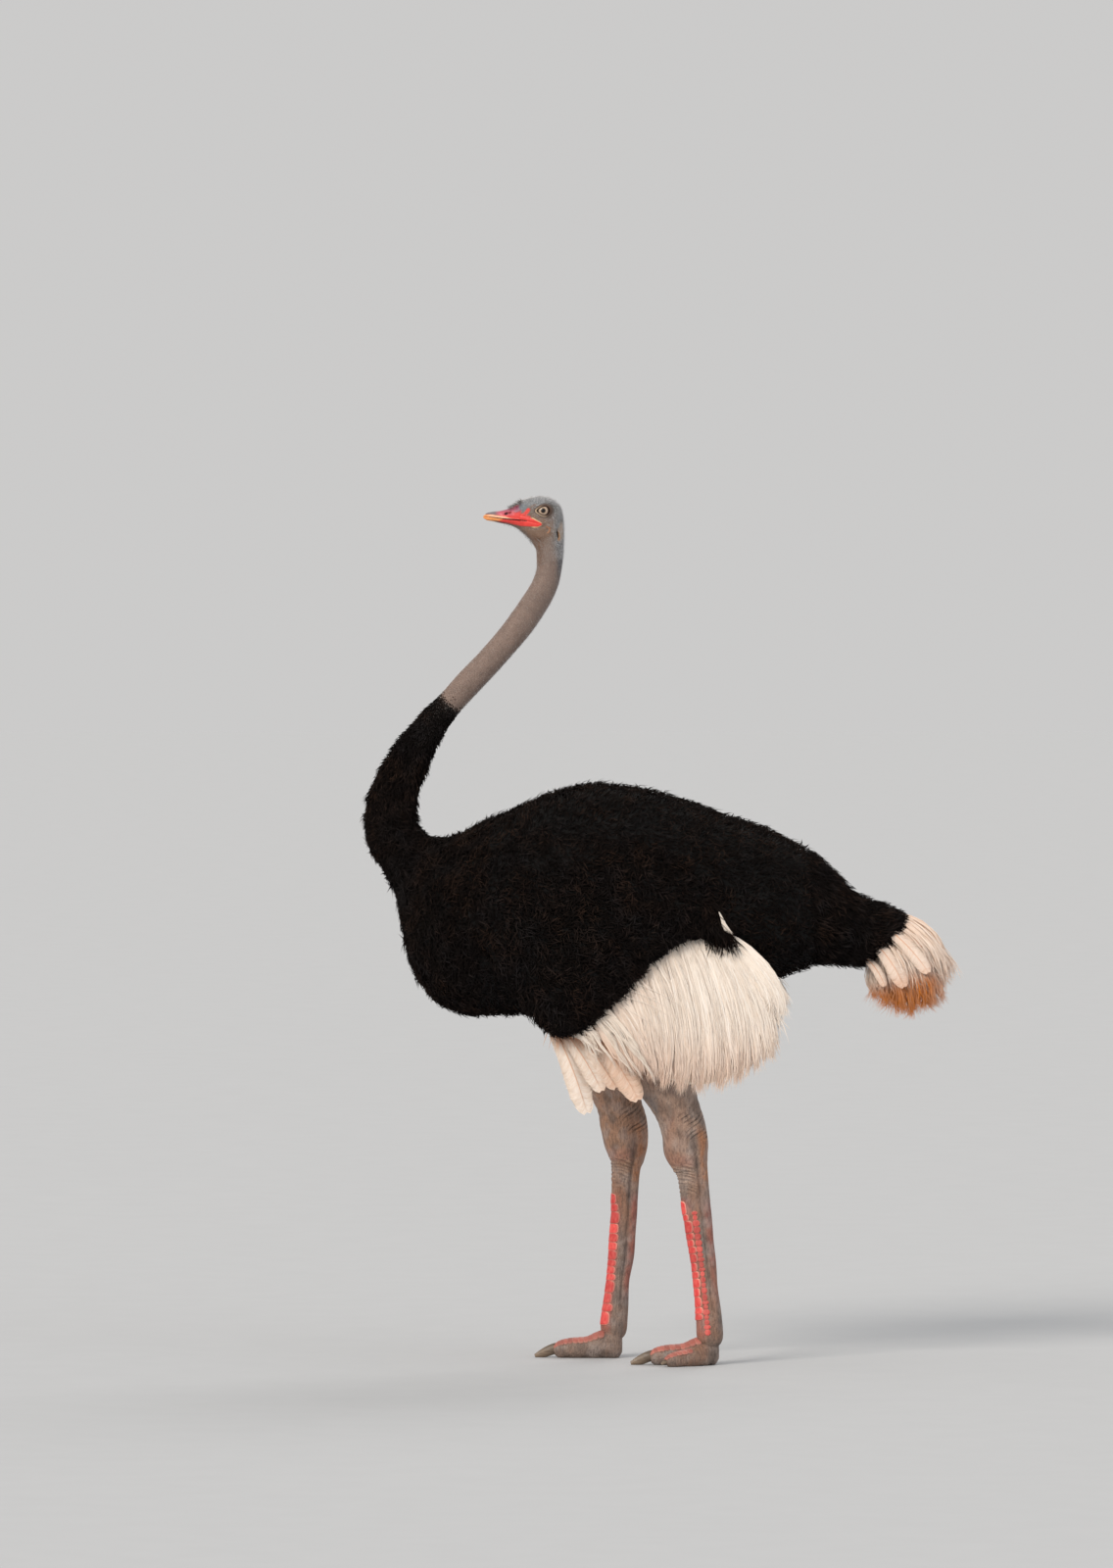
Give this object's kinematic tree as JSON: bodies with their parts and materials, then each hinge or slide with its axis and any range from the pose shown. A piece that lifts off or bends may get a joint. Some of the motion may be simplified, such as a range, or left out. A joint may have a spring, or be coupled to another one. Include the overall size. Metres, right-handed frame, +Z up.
{
  "type": "ostrich",
  "caption": "Life-size standing model of a male ostrich in black and white breeding plumage, in a slow walking pose with its neck raised, for display on a floor.",
  "frame": {"origin": "on the ground under the middle of the bird's outline, so that the soles of both feet lie at Z = 0", "axes": "-X is the way the bird faces, -Y is its left side, +Z is up"},
  "size_m": [1.3908, 0.5932, 2.0319],
  "materials": {
    "black_plumage": "soft matt curled feathers",
    "white_plumage": "soft loose plumes",
    "blue_skin": "bare skin under thin pale down",
    "bill_horn": "smooth red horn, brown and pale at the tip",
    "eye": "wet, pale grey-brown iris",
    "thigh_skin": "bare wrinkled grey-brown skin",
    "shank_skin": "grey-brown scaly skin with a row of red scutes in front",
    "claw_horn": "worn dark horn"
  },
  "bodies": {
    "root": {"bill_upper": "bill_horn", "bill_lower": "bill_horn", "eye_left": "eye", "eye_right": "eye", "head": "blue_skin", "neck_upper": "blue_skin", "neck_middle": "blue_skin", "neck_lower": "black_plumage", "neck_base": "black_plumage", "trunk": "black_plumage", "rump": "black_plumage", "tail_plumes": "white_plumage", "thigh_left": "thigh_skin", "shank_left": "shank_skin", "toe_inner_left": "shank_skin", "toe_outer_left": "shank_skin", "claw_inner_left": "claw_horn", "claw_outer_left": "claw_horn", "wing_left": "black_plumage", "wing_plumes_left": "white_plumage", "thigh_right": "thigh_skin", "shank_right": "shank_skin", "toe_inner_right": "shank_skin", "toe_outer_right": "shank_skin", "claw_inner_right": "claw_horn", "claw_outer_right": "claw_horn", "wing_right": "black_plumage", "wing_plumes_right": "white_plumage"}
  },
  "joints": []
}
